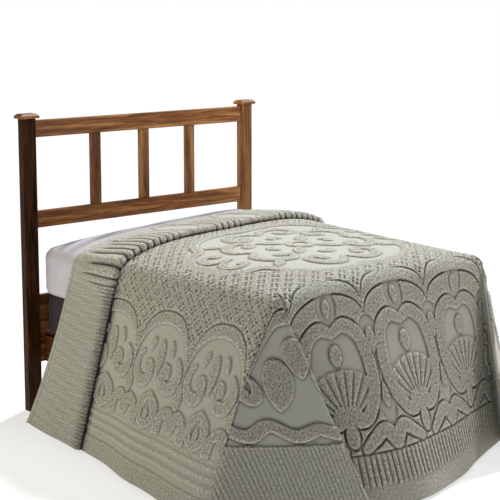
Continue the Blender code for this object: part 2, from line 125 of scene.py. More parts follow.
def wood_finish(name, axis, tone, gloss=0.18):
    """Stained wood: stretched noise along the given axis for the grain, with a broad figure.

    The stain is paler toward the right side of the bed: painted light from that side. tone
    scales all its colours, for lit and shaded copies of one stain, which are painted light and
    shade, and gloss is how strongly its varnish mirrors.
    """
    made, node, dress = new_finish(
        name, Roughness=0.42, Coat_Weight=0.28 * gloss, Coat_Roughness=0.25, Specular_IOR_Level=gloss)
    place = node("ShaderNodeTexCoord").outputs["Object"]
    scale = [GRAIN_ACROSS] * 3
    scale[axis] = GRAIN_ALONG
    along = {"Vector": node("ShaderNodeMapping", {"Vector": place}, Scale=scale).outputs["Vector"]}
    figure = node("ShaderNodeTexNoise", along, Scale=0.55, Detail=4.0, Roughness=0.55, Distortion=1.6)
    grain = node("ShaderNodeTexNoise", along, Scale=2.6, Detail=7.0, Roughness=0.7, Distortion=0.5)
    pores = node("ShaderNodeTexNoise", along, Scale=11.0, Detail=3.0, Roughness=0.6)
    both = node("ShaderNodeMix", {2: figure.outputs[0], 3: grain.outputs[0]}, data_type="FLOAT")
    both.inputs[0].default_value = 0.5
    apart = node("ShaderNodeSeparateXYZ", {0: place})
    # Painted light: the stain turns paler toward the right side of the bed.
    lit_to_right = node("ShaderNodeMath", {0: apart.outputs[0], 2: both.outputs[0]}, operation="MULTIPLY_ADD")
    lit_to_right.inputs[1].default_value = PAINTED_LIGHT_TO_RIGHT
    stain = [tuple(tone * part for part in colour) for colour in (WOOD_DARK, WOOD_MID, WOOD_LIGHT)]
    colour = colour_steps(node, lit_to_right.outputs[0], zip((0.34, 0.50, 0.66), stain))
    return dress(colour, pores.outputs[0], 0.25, PORE_DEPTH)


# One stain in lit and shaded tones, which are painted light and shade. The darkest one, with little gloss, is
# painted shade on the left post and the foot legs.
wood_upright = wood_finish("wood_upright", 2, 0.75)
wood_painted_dark = wood_finish("wood_painted_dark", 2, 0.22, gloss=0.05)
wood_across = wood_finish("wood_across", 0, 1.0)
wood_lengthwise = wood_finish("wood_lengthwise", 1, 0.75)
BOARDS = {
    wood_painted_dark: ("post_left", "foot_leg_left", "foot_leg_right"),
    wood_upright: ("post_right", "slat_1", "slat_2", "slat_3"),
    wood_across: ("cap_left", "cap_right", "top_rail", "lower_rail", "bottom_rail", "foot_rail")
    + tuple(f"cross_board_{number}" for number in range(1, 6)),
    wood_lengthwise: ("side_rail_left", "side_rail_right"),
}
for finish, names in BOARDS.items():
    for name in names:
        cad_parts[name].data.materials.clear()
        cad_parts[name].data.materials.append(finish)

# The box spring: a low sprung base in a dark woven cover with a cord sewn round its edges.
# Its near black is partly the cover's own colour and partly painted shade under the mattress.
# It stands on the cross boards under the mattress, and takes the place of the plain solid.
SPRING_CORNER = 0.045
CORD_RADIUS = 0.0045
CORD_RISE = 0.012
CORD_INSET = 0.007
THREAD_DEPTH = 0.0004


def rounded_ring(half_x, half_y, corner, count=56):
    """Points round a rectangle with round corners: superellipse corners joined by straight runs."""
    turn = np.linspace(0.0, math.pi / 2, count // 4)
    quarter = np.stack([np.cos(turn), np.sin(turn)], axis=1) * corner
    signs = ((1, 1), (-1, 1), (-1, -1), (1, -1))
    rings = []
    for number, (sx, sy) in enumerate(signs):
        run = quarter if number % 2 == 0 else quarter[::-1]
        rings.append((run + [half_x - corner, half_y - corner]) * [sx, sy])
    corners = np.concatenate(rings)
    after = np.roll(corners, -1, axis=0)
    long = np.linalg.norm(after - corners, axis=1) > 2.0 * corner
    ring = []
    for here, there, split in zip(corners, after, long):
        ring.append(here[None])
        if split:
            share = np.linspace(0.0, 1.0, 26)[1:-1, None]
            ring.append(here + (there - here) * share)
    return np.concatenate(ring)


def grid_quads(count_u, count_v, flip=False):
    """Faces of four over a grid of points that is numbered row by row."""
    index = np.arange(count_u * count_v).reshape(count_u, count_v)
    quads = np.stack([index[:-1, :-1], index[1:, :-1], index[1:, 1:], index[:-1, 1:]], axis=-1)
    quads = quads.reshape(-1, 4)
    return quads[:, ::-1] if flip else quads


def add_piece(name, points, faces, finish):
    """Puts points and faces into a named object that rides on the bed."""
    mesh = bpy.data.meshes.new(name)
    mesh.from_pydata(np.asarray(points).reshape(-1, 3).tolist(), [], [list(face) for face in faces])
    mesh.shade_smooth()
    mesh.materials.append(finish)
    made = bpy.data.objects.new(name, mesh)
    bpy.context.scene.collection.objects.link(made)
    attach(made, "root")
    return made


def lofted(rings):
    """Faces over rings from the bottom to the top, with both ends closed by one face."""
    count, around = rings.shape[:2]
    index = np.arange(count * around).reshape(count, around)
    wrapped = np.concatenate([index, index[:, :1]], axis=1)
    quads = np.stack([wrapped[:-1, :-1], wrapped[:-1, 1:], wrapped[1:, 1:], wrapped[1:, :-1]], axis=-1)
    faces = quads.reshape(-1, 4).tolist()
    return faces + [index[0, ::-1].tolist(), index[-1].tolist()]


def cloth_finish(name, dark, light, roughness, weave):
    """Woven cloth: crossed fine waves for its threads, and soft noise in its colour."""
    made, node, dress = new_finish(
        name, Roughness=roughness, Sheen_Weight=0.25, Specular_IOR_Level=0.25)
    place = {"Vector": node("ShaderNodeTexCoord").outputs["Object"]}
    soft = node("ShaderNodeTexNoise", place, Scale=7.0, Detail=4.0, Roughness=0.6)
    colour = colour_steps(node, soft.outputs[0], ((0.3, dark), (0.7, light)))
    threads = []
    for direction in ("X", "Y", "Z"):
        wave = node("ShaderNodeTexWave", place, Scale=weave, Distortion=0.6, Detail=1.0)
        wave.bands_direction = direction
        threads.append(wave.outputs[1])
    pair = node("ShaderNodeMath", {0: threads[0], 1: threads[1]}, operation="MAXIMUM")
    highest = node("ShaderNodeMath", {0: pair.outputs[0], 1: threads[2]}, operation="MAXIMUM")
    return dress(colour, highest.outputs[0], 0.25, THREAD_DEPTH)


spring_low, spring_high = (np.array(corner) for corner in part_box("box_spring"))
spring_middle = (spring_low + spring_high) / 2.0
spring_half = (spring_high - spring_low) / 2.0
SPRING_PROFILE = (          # inset from the side, height share from the bottom
    (0.30, 0.0), (0.030, 0.0), (0.010, 0.012), (0.003, 0.05), (0.0006, 0.20), (0.0, 0.5),
    (0.0006, 0.80), (0.003, 0.95), (0.010, 0.988), (0.030, 1.0), (0.30, 1.0),
)
spring_rings = []
for inset, rise in SPRING_PROFILE:
    ring = rounded_ring(*(spring_half[:2] - inset), max(SPRING_CORNER - inset, 0.012))
    height = np.full(len(ring), spring_low[2] + rise * 2.0 * spring_half[2])
    spring_rings.append(np.column_stack([ring + spring_middle[:2], height]))
spring_rings = np.stack(spring_rings)
# Near black: a dark cloth, and painted shade under the mattress as well.
spring_cover = cloth_finish("dark_cover_and_shadow_paint", (0.010, 0.009, 0.010), (0.022, 0.020, 0.022), 0.9, 260.0)
box_spring = add_piece("box_spring_cover", spring_rings, lofted(spring_rings), spring_cover)
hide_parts("box_spring")


def cord_round(path, radius, sides=8):
    """A round cord carried along a closed path: a small circle square to the path at each point."""
    ahead = np.roll(path, -1, axis=0) - np.roll(path, 1, axis=0)
    ahead /= np.linalg.norm(ahead, axis=1, keepdims=True)
    up = np.array([0.0, 0.0, 1.0])
    out = np.cross(ahead, up)
    turn = np.linspace(0.0, 2.0 * math.pi, sides, endpoint=False)[None, :, None]
    return path[:, None] + radius * (np.cos(turn) * out[:, None] + np.sin(turn) * up)


for label, level in (("lower", spring_low[2] + CORD_RISE), ("upper", spring_high[2] - CORD_RISE)):
    edge = rounded_ring(*(spring_half[:2] - CORD_INSET), SPRING_CORNER - CORD_INSET)
    path = np.column_stack([edge + spring_middle[:2], np.full(len(edge), level)])
    tube = cord_round(path, CORD_RADIUS)
    index = np.arange(tube.shape[0] * tube.shape[1]).reshape(tube.shape[:2])
    after = np.roll(index, -1, axis=0)
    quads = np.stack([index, after, np.roll(after, -1, axis=1), np.roll(index, -1, axis=1)], axis=-1)
    add_piece(f"box_spring_cord_{label}", tube, quads.reshape(-1, 4), spring_cover)

# The mattress in its fitted sheet: smooth white cotton with a lavender cast, drawn round the
# edges, with a seam where its top panel meets its side, and small pleats at its corners.
# The sheet holds by its elastic hem, and only the head end shows past the bedspread.
MATTRESS_WIDTH = 1.37
MATTRESS_LENGTH = 1.82
MATTRESS_TOP = 0.905
MATTRESS_DEPTH = 0.29
EDGE_ROUND = 0.05
CROWN = 0.065
CROWN_END_LOSS = 0.9
HEAD_LEAN = 0.034
CREST_X = MATTRESS_WIDTH / 2 - EDGE_ROUND
CREST_Y = EDGE_ROUND - MATTRESS_LENGTH
CORNER_ROUND = 0.055
PLEATS = 55.0
PLEAT_SPREAD = 0.035
PLEAT_DEPTH = 0.0015
COVER_SINK = 0.0004

mattress_low, mattress_high = (np.array(corner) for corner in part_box("mattress"))
SHIFT = np.array([(mattress_low[0] + mattress_high[0]) / 2.0, mattress_high[1], 0.0])


def ease(value):
    """Smooth step: 0 below 0, 1 above 1, level at both ends."""
    value = np.clip(value, 0.0, 1.0)
    return value * value * (3.0 - 2.0 * value)


def swell(x, y):
    """Height of the soft mattress over its level top: a low crown plus a lean at the head."""
    across = x / CREST_X
    along = 2.0 * y / MATTRESS_LENGTH + 1.0
    crown = CROWN * (1.0 - across**4) * (1.0 - CROWN_END_LOSS * along**4)
    return crown + HEAD_LEAN * across * ease(1.0 + y / MATTRESS_LENGTH)


def pleats(around):
    """Small upright pleats near the four corners, as an inward depth by place round the side."""
    near = np.zeros_like(around)
    for corner in (0.25, 0.75, 1.25, 1.75):
        near += np.exp(-(((around - corner) / PLEAT_SPREAD) ** 2))
    return PLEAT_DEPTH * near * (0.5 + 0.5 * np.cos(2.0 * math.pi * around * PLEATS))


mattress_turn = np.linspace(0.0, math.pi / 2, 9)
MATTRESS_PROFILE = [(0.35, 0.0), (EDGE_ROUND, 0.0)]
MATTRESS_PROFILE += [
    (EDGE_ROUND * (1.0 - math.sin(a)), EDGE_ROUND * (1.0 - math.cos(a))) for a in mattress_turn[1:]
]
MATTRESS_PROFILE += [(0.0, rise) for rise in (0.08, 0.12, 0.16, 0.195, 0.215)]
MATTRESS_PROFILE += [(-0.0012, 0.222), (0.0012, 0.227), (0.0, 0.232)]
MATTRESS_PROFILE += [
    (EDGE_ROUND * (1.0 - math.cos(a)), MATTRESS_DEPTH - EDGE_ROUND * (1.0 - math.sin(a)))
    for a in mattress_turn
]
MATTRESS_PROFILE += [(inset, MATTRESS_DEPTH) for inset in (0.09, 0.15, 0.23, 0.33, 0.45, 0.57, 0.66)]
mattress_rings = []
for inset, rise in MATTRESS_PROFILE:
    half_x = MATTRESS_WIDTH / 2 - inset
    half_y = MATTRESS_LENGTH / 2 - inset
    ring = rounded_ring(half_x, half_y, max(CORNER_ROUND - max(inset, 0.0) * 0.8, 0.008))
    around = np.arctan2(ring[:, 1] / half_y, ring[:, 0] / half_x) / math.pi % 2.0
    pull = pleats(around) * ease(rise / 0.05) * ease((0.22 - rise) / 0.06)
    ring = ring * (1.0 - pull / MATTRESS_WIDTH)[:, None]
    y = ring[:, 1] - MATTRESS_LENGTH / 2
    lift = ease(rise / MATTRESS_DEPTH) * swell(ring[:, 0], y)
    z = MATTRESS_TOP - MATTRESS_DEPTH + rise + lift - COVER_SINK
    mattress_rings.append(np.column_stack([ring[:, 0], y, z]) + SHIFT)
mattress_rings = np.stack(mattress_rings)
sheeting = cloth_finish("cotton_sheet", (0.60, 0.58, 0.64), (0.68, 0.66, 0.71), 0.8, 420.0)
mattress = add_piece("sheeted_mattress", mattress_rings, lofted(mattress_rings), sheeting)
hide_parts("mattress")

# The bedspread's ground: one piece of cotton sheeting with a turned hem, about 3.2 m wide and
# 3 m long. It lies on the mattress, bends over its edges, leans out to the floor, folds to a
# point at each foot corner, and is folded back in a Z at the head. It is held by nothing.
CLOTH = 0.004
CLEARANCE = 0.0036
TOP_GAP = 0.0008
SETTLE_REACH = 0.45
HEM_HEIGHT = 0.012
SIDE_LEAN_HEAD = 0.27
SIDE_LEAN_FOOT = 0.44
SIDE_LEAN_START = 0.45
FOOT_LEAN_CORNER = 0.16
FOOT_LEAN_PEAK = 0.41
FOOT_LEAN_FAR = 0.24
FOOT_PEAK_PLACE = -0.20
CORNER_REACH = 0.43
FOOT_RIPPLE_SHIFT = 0.13
RIPPLES = ((0.006, 0.62, 0.4), (0.004, 0.37, 2.1))
CORNER_FOLD = (0.24, -0.41)
CORNER_VALLEY = (-0.08, -0.13)
LAYER_SPREAD = 0.012
SPREAD_WAY = (0.6, 0.8)
SPREAD_START = 0.08
SPREAD_FADE = 0.30
FOLD_ROUND = 0.010
TOP_ROUND = 0.10
RIDGE_ROUND = 0.10
RIDGE_REACH = 0.14
RIDGE_GROWTH = 3.0
FREE_HEM_PLACE = 0.30
HIDDEN_TURN_PLACE = 0.40
BAND_EDGE_PLACE = 0.70
LAYER_GAP = 0.0025
BAND_RISE_START = 0.015
BAND_RISE = 0.05
BAND_PUFF = 0.034
PUFF_START = 0.12
BAND_SPREAD = 0.13
BEND = EDGE_ROUND + CLEARANCE + CLOTH
FULL_DROP = MATTRESS_TOP - EDGE_ROUND - HEM_HEIGHT
EDGE_STEP = 0.002
SLOPE_STEP = 0.001
BEND_RUN = 0.07
FALL_RUN = 0.885
FOLD_STEP = 0.0022
FOLD_STEPS = 7
FOLD_CLEAR = 0.017
GROUND_STEP = 0.03
GROUND_THICKNESS = 0.0016
GROUND_DEPTH = 0.0006
WELD_REACH = 0.0012


def cloth_top(x, y):
    """Height of the cloth's right side on the mattress: it settles away from the edges."""
    inward = np.minimum(CREST_X - np.abs(x), y - CREST_Y)
    gap = TOP_GAP + (CLEARANCE - TOP_GAP) * ease(1.0 - inward / SETTLE_REACH)
    return MATTRESS_TOP + gap + CLOTH + swell(x, y)


def ripple(place):
    """Small waves of the lean along the edge, from the short table of ripples."""
    return sum(lean * np.sin(2 * math.pi * place / wave + phase) for lean, wave, phase in RIPPLES)


def side_lean(y):
    """The side's lean grows toward the foot, with ripples."""
    grow = ease((-y - SIDE_LEAN_START) / (MATTRESS_LENGTH - SIDE_LEAN_START))
    return SIDE_LEAN_HEAD + (SIDE_LEAN_FOOT - SIDE_LEAN_HEAD) * grow + ripple(y)


def foot_lean(x):
    """The foot's lean: wide left of the middle, less at the right, small at both corners."""
    sink = np.clip((x - FOOT_PEAK_PLACE) / (CREST_X - FOOT_PEAK_PLACE), 0.0, 1.0)
    wide = FOOT_LEAN_PEAK + (FOOT_LEAN_FAR - FOOT_LEAN_PEAK) * (0.5 - 0.5 * np.cos(math.pi * sink))
    inward = np.clip((CREST_X - np.abs(x)) / CORNER_REACH, 0.0, 1.0)
    rise = np.sin(0.5 * math.pi * inward)
    return FOOT_LEAN_CORNER + (wide + ripple(x + FOOT_RIPPLE_SHIFT) - FOOT_LEAN_CORNER) * rise


def corner_run(side, step):
    """Leans, headings and spreads round one corner, evenly spaced along its broken line."""
    fold, valley = CORNER_FOLD, CORNER_VALLEY
    turns = np.array([
        (-side_lean(CREST_Y), 0.0, 0.0),
        (*fold, -LAYER_SPREAD),
        (*fold, 0.0),
        (*valley, 0.0),
        (*valley, LAYER_SPREAD),
        (0.0, -foot_lean(side * CREST_X), LAYER_SPREAD),
    ]) * (-side, 1.0, 1.0)
    lengths = np.hypot(*np.diff(turns[:, :2], axis=0).T) * FULL_DROP + np.abs(np.diff(turns[:, 2]))
    ends = np.concatenate(([0.0], np.cumsum(lengths)))
    place = np.arange(0.0, ends[-1], step)
    lean_x, lean_y, spread = (np.interp(place, ends, turns[:, k]) for k in range(3))
    quarter = 0.5 * math.pi * place / ends[-1]
    heading = np.stack([side * np.cos(quarter), -np.sin(quarter)], axis=1)
    spread = np.stack([-side * SPREAD_WAY[0] * spread, SPREAD_WAY[1] * spread], axis=1)
    return np.stack([lean_x, lean_y], axis=1), heading, spread, ends


def foot_spread(x):
    """The foot's cloth stays behind the corner folds, less so toward the middle."""
    near = LAYER_SPREAD * ease(1.0 - (CREST_X - np.abs(x)) / SPREAD_FADE)
    return np.stack([-np.sign(x) * SPREAD_WAY[0] * near, SPREAD_WAY[1] * near], axis=1)


def edge_run(step=EDGE_STEP):
    """The whole crest, from the left head end round the foot to the right head end."""
    side_y = np.arange(0.0, CREST_Y, -step)
    zero = np.zeros_like(side_y)
    left = [
        np.stack([zero - CREST_X, side_y], axis=1),
        np.stack([-side_lean(side_y), zero], axis=1),
        np.stack([zero - 1.0, zero], axis=1),
        np.stack([zero, zero], axis=1),
    ]
    foot_x = np.arange(-CREST_X, CREST_X, step)
    level = np.zeros_like(foot_x)
    foot = [
        np.stack([foot_x, level + CREST_Y], axis=1),
        np.stack([level, -foot_lean(foot_x)], axis=1),
        np.stack([level, level - 1.0], axis=1),
        foot_spread(foot_x),
    ]
    corners = []
    corner_ends = []
    for side in (-1.0, 1.0):
        lean, heading, spread, ends = corner_run(side, step)
        crest = np.zeros_like(lean) + np.array([side * CREST_X, CREST_Y])
        corners.append([crest, lean, heading, spread])
        corner_ends.append(ends)
    mirror = np.array([-1.0, 1.0])
    right = [part[::-1] * mirror for part in left]
    pieces = [left, corners[0], foot, [part[::-1] for part in corners[1]], right]
    tables = [np.concatenate([piece[k] for piece in pieces]) for k in range(4)]
    places = np.arange(len(tables[0])) * step
    starts = np.cumsum([0] + [len(piece[0]) for piece in pieces]) * step
    last = starts[4] - step
    left_ends, right_ends = corner_ends
    marks = {
        "left_corner": starts[1],
        "left_fold": starts[1] + (left_ends[1] + left_ends[2]) / 2,
        "left_valley": starts[1] + (left_ends[3] + left_ends[4]) / 2,
        "foot_left": starts[2],
        "foot_right": starts[3],
        "right_valley": last - (right_ends[3] + right_ends[4]) / 2,
        "right_fold": last - (right_ends[1] + right_ends[2]) / 2,
        "right_corner": last,
        "end": starts[5] - step,
    }
    return places, tables, marks


PLACES, (CREST, LEAN, HEADING, SPREAD), MARKS = edge_run()
CREST_SUM, LEAN_SUM, SPREAD_SUM = (np.cumsum(table, axis=0) for table in (CREST, LEAN, SPREAD))


def averaged(running_sum, place, half):
    """Mean of a table of pairs over place - half to place + half, from its running sum."""
    half = np.maximum(half, EDGE_STEP)
    low = np.clip(place - half, 0.0, PLACES[-1])
    high = np.clip(place + half, 0.0, PLACES[-1])
    count = (high - low) / PLACES[1]
    values = [
        (np.interp(high, PLACES, running_sum[:, k]) - np.interp(low, PLACES, running_sum[:, k])) / count
        for k in (0, 1)
    ]
    return np.stack(values, axis=-1)


def rounding(place, fall):
    """Half width of the averaging: a fold keeps its round at every depth, a ridge grows."""
    round_here = np.minimum(TOP_ROUND, FOLD_ROUND / np.maximum(fall, 0.01))
    for corner in ("left_corner", "right_corner"):
        near = np.exp(-(((place - MARKS[corner]) / RIDGE_REACH) ** 2))
        near = near * ease(RIDGE_GROWTH * fall)
        round_here = round_here + (RIDGE_ROUND * fall - round_here) * near
    return round_here


def hang(place, turn_share, fall, lift=0.0):
    """Cloth that leaves the crest, at a share of its edge bend and of its fall to the hem.

    The bend turns from level, in the heading's direction, to the falling line (lean, -1)
    along an arc of radius BEND, which also keeps the slope that the top has at the crest.
    Below it the cloth runs straight along that line. A point is then raised by lift along
    the arc's normal.
    """
    place, turn_share, fall, lift = np.broadcast_arrays(place, turn_share, fall, lift)
    half = rounding(place, fall)
    lean_top = averaged(LEAN_SUM, place, rounding(place, np.zeros_like(fall)))
    lean = averaged(LEAN_SUM, place, half)
    index = np.clip(np.rint(place / PLACES[1]).astype(int), 0, len(PLACES) - 1)
    crest = np.stack([np.interp(place, PLACES, CREST[:, k]) for k in (0, 1)], axis=-1)
    soft = averaged(CREST_SUM, place, half * fall) - averaged(CREST_SUM, place, np.zeros_like(half))
    height = cloth_top(crest[..., 0], crest[..., 1])
    out = np.concatenate([HEADING[index], np.zeros(place.shape + (1,))], axis=-1)
    line = np.concatenate([lean_top, -np.ones(place.shape + (1,))], axis=-1)
    line = line / np.linalg.norm(line, axis=-1, keepdims=True)
    turn = np.arccos(np.sum(out * line, axis=-1))[..., None]
    share = turn_share[..., None]
    out_part = np.cos((1.0 - share) * turn)
    line_part = np.cos(share * turn)
    arc = BEND / np.sin(turn) * ((out_part - np.cos(turn)) * out + (1.0 - line_part) * line)
    normal = (out_part * out - line_part * line) / np.sin(turn)
    inner = crest - SLOPE_STEP * HEADING[index]
    slope = (cloth_top(inner[..., 0], inner[..., 1]) - height) / SLOPE_STEP
    arc[..., 2] -= slope * np.sum(arc[..., :2] * HEADING[index], axis=-1)
    drop = fall * (height + arc[..., 2] - HEM_HEIGHT)
    point = np.concatenate([crest, height[..., None]], axis=-1) + arc
    apart = averaged(SPREAD_SUM, place, half) * ease(fall / SPREAD_START)[..., None]
    point[..., :2] += soft + apart + drop[..., None] * lean
    point[..., 2] -= drop
    return point + lift[..., None] * normal


def sheared(y, fall):
    """The folded end takes more cloth as it hangs: its hem spreads toward the head, its edge stays."""
    share = np.clip((y + BAND_EDGE_PLACE) / (BAND_EDGE_PLACE - FREE_HEM_PLACE), 0.0, 1.0)
    return np.minimum(y + BAND_SPREAD * fall**2 * share, 0.0)


def shares(run):
    """Share of the bend and share of the fall for a distance from the crest along the cloth."""
    return np.clip(run / BEND_RUN, 0.0, 1.0), np.maximum((run - BEND_RUN) / FALL_RUN, 0.0)


def strip(across, y, lift):
    """Cloth that runs over the bed from side to side.

    across is the distance from the bed's middle line along the flat cloth. Up to the crest
    the cloth lies on the mattress, and past it, it hangs.
    """
    across, y, lift = np.broadcast_arrays(across, y, lift)
    turn_share, fall = shares(np.abs(across) - CREST_X)
    pulled = sheared(y, fall)
    hanging = hang(np.where(across < 0, -pulled, MARKS["end"] + pulled), turn_share, fall, lift)
    x = np.clip(across, -CREST_X, CREST_X)
    lying = np.stack([x, y, cloth_top(x, y) + lift], axis=-1)
    return np.where((np.abs(across) > CREST_X)[..., None], hanging, lying)


def band_profile(fine=1):
    """The folded head end as (y, lift) of the right side, from the free hem to the hidden turn.

    The top layer rises off the mattress over the hidden turn, swells to a round edge at
    the foot side, runs back under itself, and turns down onto the main layer.
    """
    flat = 2.0 * (LAYER_GAP + CLOTH)
    radius = (BAND_PUFF - LAYER_GAP) / 2.0
    edge = -BAND_EDGE_PLACE + radius
    hem = -FREE_HEM_PLACE
    turn = -HIDDEN_TURN_PLACE
    rise_end = 0.07
    y = np.linspace(hem, hem - rise_end, 4 * fine + 1)
    rows = [np.stack([y, flat * ease((hem - y - BAND_RISE_START) / BAND_RISE)], axis=1)]
    share = np.linspace(0.0, 1.0, 12 * fine + 1)[1:]
    y = hem - rise_end + (edge - hem + rise_end) * share
    puffed = ease((share - PUFF_START) / (1.0 - PUFF_START))
    rows.append(np.stack([y, flat + (BAND_PUFF - flat) * puffed], axis=1))
    angle = np.linspace(0.5 * math.pi, -0.5 * math.pi, 8 * fine + 1)[1:]
    rows.append(np.stack([edge - radius * np.cos(angle), LAYER_GAP + radius * (1.0 + np.sin(angle))], axis=1))
    share = np.linspace(0.0, 1.0, 9)[1:]
    rows.append(np.stack([edge + (turn - edge) * share, np.full(8, LAYER_GAP)], axis=1))
    small = LAYER_GAP / 2.0
    angle = np.radians((30.0, -30.0, -90.0))
    rows.append(np.stack([turn + small * np.cos(angle), small * (1.0 + np.sin(angle))], axis=1))
    return np.concatenate(rows)


def surface_normals(points, flip):
    """Unit normals of a grid of points, from the differences between its neighbours."""
    normal = np.cross(np.gradient(points, axis=0), np.gradient(points, axis=1))
    size = np.linalg.norm(normal, axis=-1, keepdims=True)
    normal = np.where(size > 1e-12, normal / np.maximum(size, 1e-12), (0.0, 0.0, -1.0 if flip else 1.0))
    return -normal if flip else normal


def corner_places(first, fold, valley, last, step):
    """Places round one corner, closer together at its fold and its valley."""
    even = np.linspace(first, last, int(round(abs(last - first) / step)) + 1)
    fine = np.arange(-FOLD_STEPS, FOLD_STEPS + 1) * FOLD_STEP
    for turn in (fold, valley):
        even = even[np.abs(even - turn) > FOLD_CLEAR]
        even = np.concatenate([even, turn + fine])
    return np.sort(even)


def foot_places(step):
    """Places along the whole foot with both corners."""
    corners = []
    for side in ("left", "right"):
        names = (f"{side}_corner", f"{side}_fold", f"{side}_valley", f"foot_{side}")
        corners.append(corner_places(*(MARKS[name] for name in names), step))
    count = int(round((MARKS["foot_right"] - MARKS["foot_left"]) / step))
    between = np.linspace(MARKS["foot_left"], MARKS["foot_right"], count + 1)[1:-1]
    return np.concatenate([corners[0], between, corners[1]])


# The ground is coarse: the pile over it carries what shows.
head_rows = band_profile()
main_y = np.linspace(-HIDDEN_TURN_PLACE, CREST_Y, 56)[1:]
ground_rows = np.concatenate([head_rows, np.stack([main_y, np.zeros(len(main_y))], axis=1)])
half_columns = np.concatenate([
    np.linspace(0.0, CREST_X, 22),
    CREST_X + np.linspace(0.0, BEND_RUN, 7)[1:],
    CREST_X + BEND_RUN + np.linspace(0.0, FALL_RUN, 34)[1:],
])
across = np.concatenate([-half_columns[:0:-1], half_columns])
over = strip(across[None, :], ground_rows[:, :1], ground_rows[:, 1:])
over_normals = surface_normals(over, False)
runs = half_columns[21:] - CREST_X
end_places = foot_places(GROUND_STEP)
turn_share, fall = shares(runs)
ends = hang(end_places[:, None], turn_share[None, :], fall[None, :])
ends_normals = surface_normals(ends, True)
ground_points = np.concatenate([
    (over - GROUND_DEPTH * over_normals).reshape(-1, 3),
    (ends - GROUND_DEPTH * ends_normals).reshape(-1, 3),
])
ground_faces = np.concatenate([
    grid_quads(*over.shape[:2]),
    grid_quads(*ends.shape[:2], flip=True) + over.shape[0] * over.shape[1],
])
ground_finish = cloth_finish("cotton_ground", (0.52, 0.51, 0.43), (0.58, 0.57, 0.49), 0.9, 300.0)
ground = add_piece("bedspread_cloth", ground_points + SHIFT, ground_faces, ground_finish)
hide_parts("bedspread")
joined = bmesh.new()
joined.from_mesh(ground.data)
bmesh.ops.remove_doubles(joined, verts=joined.verts, dist=WELD_REACH)
joined.to_mesh(ground.data)
joined.free()
thick = ground.modifiers.new("thickness", "SOLIDIFY")
thick.thickness = GROUND_THICKNESS
thick.offset = -1.0

# The chenille pile: tufted cotton yarn that stands some 5 mm over the ground in a design of
# scrolls, lattice, ribs and stripes. It is tufted through the ground, so it moves with it.
# The design is a generic one, laid out here on the flat cloth.
PILE = 0.0065
LATTICE = 0.0085
PILE_EDGE = 0.0050
CELL = 0.005
LATTICE_PITCH = 0.058
CHANNEL_APART = 0.0100
CHANNEL_WIDTH = 0.0055
FILL_GAP = 0.011
MEDALLION_MIDDLE = -1.235
MEDALLION_HALF = (0.60, 0.465)


def curl(x, y, start, turns, radius, width, hand=1.0, inner=0.30):
    """A scroll: an arc that winds in from radius to a share of it and ends in a round knob."""
    share = np.linspace(0.0, 1.0, 40)
    angle = math.radians(start) + hand * 2.0 * math.pi * turns * share
    reach = radius * (1.0 - (1.0 - inner) * share**1.15)
    half = 0.5 * width * (0.35 + 0.65 * np.sin(np.minimum(share * 2.2, 1.0) * math.pi / 2))
    half = half * (1.0 - 0.25 * ease((share - 0.5) / 0.5))
    half = half + 0.32 * width * ease((share - 0.93) / 0.07)
    points = np.stack([x + reach * np.cos(angle), y + reach * np.sin(angle)], axis=1)
    return points, half


def sweep(points, widths):
    """A smooth band through the given points: a cubic through each four, with eased widths."""
    points = np.array(points, float)
    along = np.linspace(0, 1, 1 + 10 * (len(points) - 1))
    widths = np.interp(along, np.linspace(0, 1, len(widths)), widths)
    ends = np.concatenate([[2 * points[0] - points[1]], points, [2 * points[-1] - points[-2]]])
    share = np.linspace(0.0, 1.0, 11)[:-1, None]
    parts = []
    for a, b, c, d in zip(ends, ends[1:], ends[2:], ends[3:]):
        bend = 2 * a - 5 * b + 4 * c - d + share * (3 * (b - c) + d - a)
        parts.append(b + 0.5 * share * (c - a + share * bend))
    return np.concatenate(parts + [points[-1:]]), widths / 2.0


def leaf(x, y, heading, length, width):
    """A pointed leaf: a straight band that is widest past its middle."""
    share = np.linspace(0.0, 1.0, 14)
    way = np.array([math.cos(math.radians(heading)), math.sin(math.radians(heading))])
    half = 0.5 * width * np.sin(math.pi * share**0.75) ** 0.8
    return np.array([x, y]) + share[:, None] * length * way, half


def round_band(x, y, radius, width):
    """A closed round band of even width."""
    angle = np.linspace(0.0, 2.0 * math.pi, 73)
    points = np.stack([x + radius * np.cos(angle), y + radius * np.sin(angle)], axis=1)
    return points, np.full(73, width / 2.0)


def inside(x, y, strokes):
    """Signed distance out of the nearest stroke: from each segment, less its half width."""
    shape = x.shape
    points = np.stack([x.ravel(), y.ravel()], axis=1)
    nearest = np.full(len(points), 0.06)
    for line, half in strokes:
        reach = half.max() + 0.02
        near = np.all((points > line.min(axis=0) - reach) & (points < line.max(axis=0) + reach), axis=1)
        if not near.any():
            continue
        local = points[near]
        best = nearest[near]
        for a, b, wide_a, wide_b in zip(line, line[1:], half, half[1:]):
            way = b - a
            share = np.clip(((local - a) @ way) / max(way @ way, 1e-12), 0.0, 1.0)
            gap = np.hypot(*(local - a - share[:, None] * way).T) - (wide_a + (wide_b - wide_a) * share)
            np.minimum(best, gap, out=best)
        nearest[near] = best
    return nearest.reshape(shape)


def raised(gap):
    """Pile height from the distance out of a shape: full inside, none outside, a soft edge."""
    return PILE * ease(0.5 - gap / PILE_EDGE)


